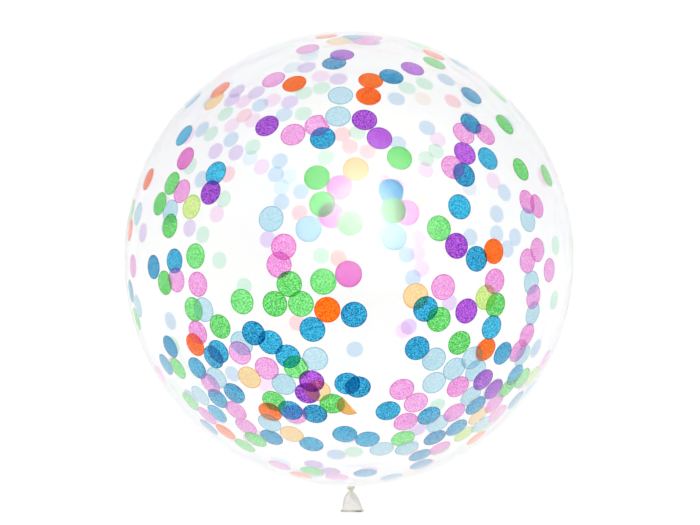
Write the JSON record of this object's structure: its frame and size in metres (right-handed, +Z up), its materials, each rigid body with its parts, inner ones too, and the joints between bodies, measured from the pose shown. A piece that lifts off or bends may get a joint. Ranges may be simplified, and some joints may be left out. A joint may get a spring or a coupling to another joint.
{
  "type": "confetti balloon",
  "caption": "Clear round latex balloon, blown up and knotted, with tissue confetti discs clinging inside; lies on its side on a small flat patch.",
  "frame": {"origin": "centre of the flat patch on the underside, straight below the middle of the envelope", "axes": "+Z up, away from the floor; +Y along the balloon's axis towards its crown, so the knot and the tail point to -Y; +X across the axis"},
  "size_m": [0.8994, 0.9728, 0.8957],
  "materials": {
    "clear_latex": "clear, glossy, almost colourless where it is stretched and creamy at the knot and the tail",
    "tissue_blue": "matt translucent tissue",
    "tissue_sky": "matt translucent tissue",
    "tissue_green": "matt translucent tissue",
    "tissue_lime": "matt translucent tissue",
    "tissue_pink": "matt translucent tissue",
    "tissue_purple": "matt translucent tissue",
    "tissue_orange": "matt translucent tissue",
    "tissue_amber": "matt translucent tissue"
  },
  "bodies": {
    "root": {"balloon": "clear_latex"}
  },
  "joints": []
}
